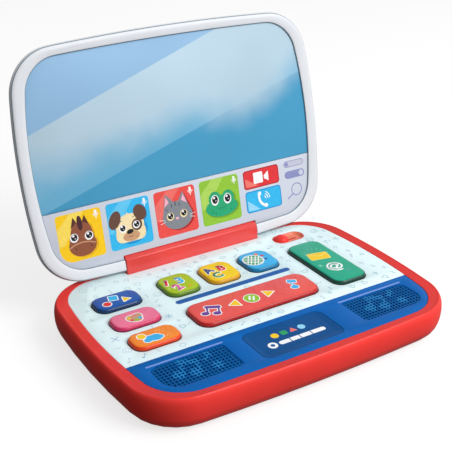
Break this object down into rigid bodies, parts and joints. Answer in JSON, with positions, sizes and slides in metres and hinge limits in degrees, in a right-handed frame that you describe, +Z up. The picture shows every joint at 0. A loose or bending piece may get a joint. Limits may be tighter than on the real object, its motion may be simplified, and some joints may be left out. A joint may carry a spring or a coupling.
{
  "type": "toy laptop computer",
  "caption": "Hinged toy laptop for toddlers: red tray base with sprung coloured keys and a slide switch, and a lid with a mirror screen.",
  "frame": {"origin": "centre of the flat underside of the base, on the surface it stands on", "axes": "+X to the user's right, +Y away from the user towards the hinge, +Z up"},
  "size_m": [0.2392, 0.1996, 0.1843],
  "materials": {
    "red_shell": "glossy red ABS, moulded in colour",
    "deck_pale": "pale printed in-mould film with fine doodles, satin",
    "panel_blue": "mid blue ABS, satin",
    "grille_blue": "dark blue ABS with printed notes",
    "badge_blue": "recessed blue badge with plain coloured shapes",
    "lid_grey": "very light grey ABS, soft gloss",
    "mirror_film": "acrylic mirror sheet that reads as a blue sky",
    "strip_print": "lavender grey sheet printed with animal tiles and call buttons",
    "key_blue": "glossy blue cap with printed shapes",
    "key_pink": "glossy pink cap with a printed palette",
    "key_orange": "glossy orange cap with a printed cloud",
    "key_lime": "glossy lime cap with printed digits",
    "key_yellow": "glossy yellow cap with printed letters",
    "key_sky": "glossy light blue cap with a printed globe",
    "key_coral": "glossy coral red bar with printed music controls",
    "key_teal": "glossy teal cap with a printed envelope",
    "silicone": "translucent white silicone",
    "pcb": "green solder mask",
    "black_plastic": "black moulded plastic and paper cone",
    "steel": "zinc plated steel",
    "cell_sleeve": null,
    "lead_pvc": "red PVC lead"
  },
  "bodies": {
    "base": {"bottom_shell": "red_shell", "top_shell": "red_shell", "keyboard_deck": "deck_pale", "front_panel": "panel_blue", "badge_plate": "badge_blue", "speaker_grille_left": "grille_blue", "hinge_pin_left": "steel", "battery_contact_left": "steel", "speaker_grille_right": "grille_blue", "hinge_pin_right": "steel", "battery_contact_right": "steel", "hinge_bar": "red_shell", "switch_tray": "red_shell", "slide_switch": "black_plastic", "circuit_board": "pcb", "speaker": "black_plastic", "dome_shapes_1": "silicone", "dome_palette_1": "silicone", "dome_weather_1": "silicone", "dome_numbers_1": "silicone", "dome_letters_1": "silicone", "dome_globe_1": "silicone", "dome_music_1": "silicone", "dome_music_2": "silicone", "dome_mail_1": "silicone", "dome_mail_2": "silicone", "battery_1": "cell_sleeve", "battery_2": "cell_sleeve", "battery_3": "cell_sleeve", "case_screw_1": "steel", "board_screw_1": "steel", "case_screw_2": "steel", "board_screw_2": "steel", "case_screw_3": "steel", "board_screw_3": "steel", "case_screw_4": "steel", "board_screw_4": "steel", "speaker_lead": "lead_pvc", "battery_lead": "lead_pvc"},
    "lid": {"lid_frame": "lid_grey", "lid_back": "lid_grey", "mirror_screen": "mirror_film", "picture_strip": "strip_print"},
    "battery_cover": {"battery_door": "red_shell", "battery_door_screw": "steel"},
    "switch_slider": {"switch_knob": "red_shell"},
    "shapes_key": {"key_shapes": "key_blue"},
    "palette_key": {"key_palette": "key_pink"},
    "weather_key": {"key_weather": "key_orange"},
    "numbers_key": {"key_numbers": "key_lime"},
    "letters_key": {"key_letters": "key_yellow"},
    "globe_key": {"key_globe": "key_sky"},
    "music_key": {"key_music": "key_coral"},
    "mail_key": {"key_mail": "key_teal"}
  },
  "joints": [
    {"name": "lid_hinge", "type": "hinge", "parent": "base", "child": "lid", "pos_m": [0, 0.07589, 0.03121], "axis": [1, 0, 0], "range_deg": [0, 103]},
    {"name": "shapes_press", "type": "slide", "parent": "base", "child": "shapes_key", "axis": [0, 0, -1], "range_m": [0, 0.0018], "stiffness_N_per_m": 400, "springref_m": -0.0012, "deforming": ["dome_shapes_1"]},
    {"name": "palette_press", "type": "slide", "parent": "base", "child": "palette_key", "axis": [0, 0, -1], "range_m": [0, 0.0018], "stiffness_N_per_m": 400, "springref_m": -0.0012, "deforming": ["dome_palette_1"]},
    {"name": "weather_press", "type": "slide", "parent": "base", "child": "weather_key", "axis": [0, 0, -1], "range_m": [0, 0.0018], "stiffness_N_per_m": 400, "springref_m": -0.0012, "deforming": ["dome_weather_1"]},
    {"name": "numbers_press", "type": "slide", "parent": "base", "child": "numbers_key", "axis": [0, 0, -1], "range_m": [0, 0.0018], "stiffness_N_per_m": 400, "springref_m": -0.0012, "deforming": ["dome_numbers_1"]},
    {"name": "letters_press", "type": "slide", "parent": "base", "child": "letters_key", "axis": [0, 0, -1], "range_m": [0, 0.0018], "stiffness_N_per_m": 400, "springref_m": -0.0012, "deforming": ["dome_letters_1"]},
    {"name": "globe_press", "type": "slide", "parent": "base", "child": "globe_key", "axis": [0, 0, -1], "range_m": [0, 0.0018], "stiffness_N_per_m": 400, "springref_m": -0.0012, "deforming": ["dome_globe_1"]},
    {"name": "music_press", "type": "slide", "parent": "base", "child": "music_key", "axis": [0, 0, -1], "range_m": [0, 0.0018], "stiffness_N_per_m": 400, "springref_m": -0.0012, "deforming": ["dome_music_1", "dome_music_2"]},
    {"name": "mail_press", "type": "slide", "parent": "base", "child": "mail_key", "axis": [0, 0, -1], "range_m": [0, 0.0018], "stiffness_N_per_m": 400, "springref_m": -0.0012, "deforming": ["dome_mail_1", "dome_mail_2"]},
    {"name": "switch_slide", "type": "slide", "parent": "base", "child": "switch_slider", "axis": [1, 0, 0], "range_m": [0, 0.0115]},
    {"name": "battery_cover_lift", "type": "slide", "parent": "base", "child": "battery_cover", "axis": [0, 0, -1], "range_m": [0, 0.012]}
  ]
}
